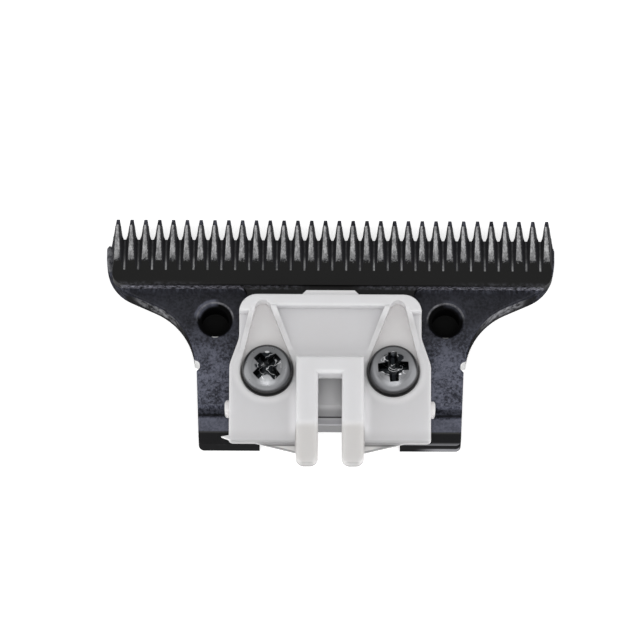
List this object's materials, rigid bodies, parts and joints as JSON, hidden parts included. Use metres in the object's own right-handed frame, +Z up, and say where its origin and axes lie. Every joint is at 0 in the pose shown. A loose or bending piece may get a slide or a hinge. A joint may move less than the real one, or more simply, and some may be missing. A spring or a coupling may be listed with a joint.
{
  "type": "hair clipper blade",
  "caption": "T-shaped trimmer blade set: coated steel fixed blade and sliding toothed cutter, driven through a white moulded yoke with an open fork.",
  "frame": {"origin": "midway between the two mounting holes, on the fixed blade's underside", "axes": "+X along the tooth row, +Y towards the tooth tips, +Z up from the underside to the yoke"},
  "size_m": [0.041, 0.0235, 0.0065],
  "materials": {
    "fixed_steel": "black coated steel, fine scuffed satin",
    "cutter_steel": "black coated steel, smooth satin, ground bevels on the teeth",
    "yoke_plastic": "white moulded plastic, fine matt",
    "screw_steel": "bright plated steel"
  },
  "bodies": {
    "base": {"fixed_blade": "fixed_steel"},
    "cutter": {"moving_blade": "cutter_steel", "drive_yoke": "yoke_plastic", "yoke_screws": "screw_steel"}
  },
  "joints": [
    {"name": "cutter_slide", "type": "slide", "parent": "base", "child": "cutter", "axis": [1, 0, 0], "range_m": [-0.0012, 0.0012]}
  ]
}
